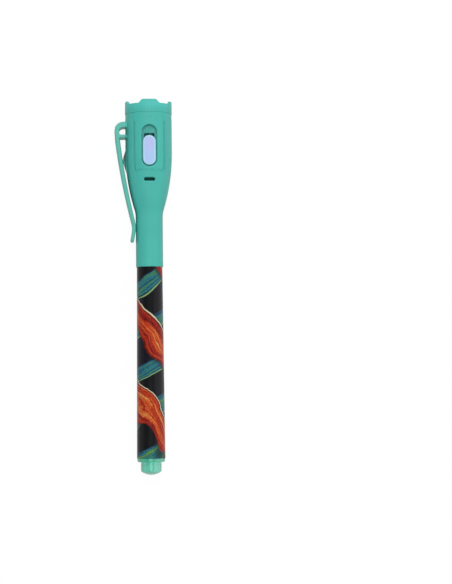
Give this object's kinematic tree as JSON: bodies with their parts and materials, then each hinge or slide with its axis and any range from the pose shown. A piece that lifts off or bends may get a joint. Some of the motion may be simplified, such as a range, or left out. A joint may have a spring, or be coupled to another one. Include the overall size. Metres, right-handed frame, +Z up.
{
  "type": "invisible-ink pen with a torch cap",
  "caption": "Slim round pen with a printed tapered barrel and fibre nib under a push-on torch cap that has a slide switch, toothed lamp crown, lanyard eye and spring clip.",
  "frame": {"origin": "on the table, under the middle of the pen's box as it lies at rest on its tail edge, its head and the corner of its clip", "axes": "+X along the pen towards its tail, rising 1.8 degrees towards the lamp at -X; +Z up from the table; the switch faces up and towards -Y"},
  "size_m": [0.1338, 0.0204, 0.0173],
  "materials": {
    "cap_plastic": "satin teal-green moulded plastic",
    "tail_plastic": "glossy, slightly translucent green plastic",
    "nose_plastic": "translucent mint plastic",
    "button_plastic": "pale lilac-blue plastic",
    "printed_film": "glossy dark film with a coloured print",
    "fibre": "felted fibre",
    "core_film": "thin white film",
    "seal_plastic": "soft milky plastic",
    "black_plastic": "matte black plastic",
    "cell_steel": "nickel-plated steel",
    "spring_steel": "plated spring steel",
    "lead_tin": "tinned steel wire",
    "reflector_bright": "bright metallised plastic",
    "lens_epoxy": "clear epoxy"
  },
  "bodies": {
    "pen": {"barrel": "nose_plastic", "barrel_sleeve": "printed_film", "tail_plug": "tail_plastic", "nib_holder": "nose_plastic", "nib": "fibre", "ink_core": "fibre", "ink_core_wrap": "core_film"},
    "cap": {"inner_cap": "seal_plastic", "cap_shell": "cap_plastic", "crown_bezel": "cap_plastic", "reflector": "reflector_bright", "led_lens": "lens_epoxy", "led_anode_lead": "lead_tin", "led_cathode_lead": "lead_tin", "cell_carrier": "black_plastic", "battery_spring": "spring_steel", "negative_strip": "spring_steel", "cell_lower": "cell_steel", "cell_middle": "cell_steel", "cell_upper": "cell_steel"},
    "switch": {"switch_button": "button_plastic", "switch_carriage": "black_plastic", "switch_wiper": "spring_steel"},
    "clip": {"clip_arm": "cap_plastic"}
  },
  "joints": [
    {"name": "cap_pull", "type": "slide", "parent": "pen", "child": "cap", "axis": [-0.9995, 0, 0.0303], "range_m": [0, 0.03]},
    {"name": "switch_slide", "type": "slide", "parent": "cap", "child": "switch", "axis": [-0.9995, 0, 0.0303], "range_m": [0, 0.0034]},
    {"name": "clip_flex", "type": "hinge", "parent": "cap", "child": "clip", "pos_m": [-0.05263, -0.00789, 0.003], "axis": [-0.0263, 0.4955, -0.8682], "range_deg": [0, 6], "stiffness_Nm_per_rad": 1.2}
  ]
}
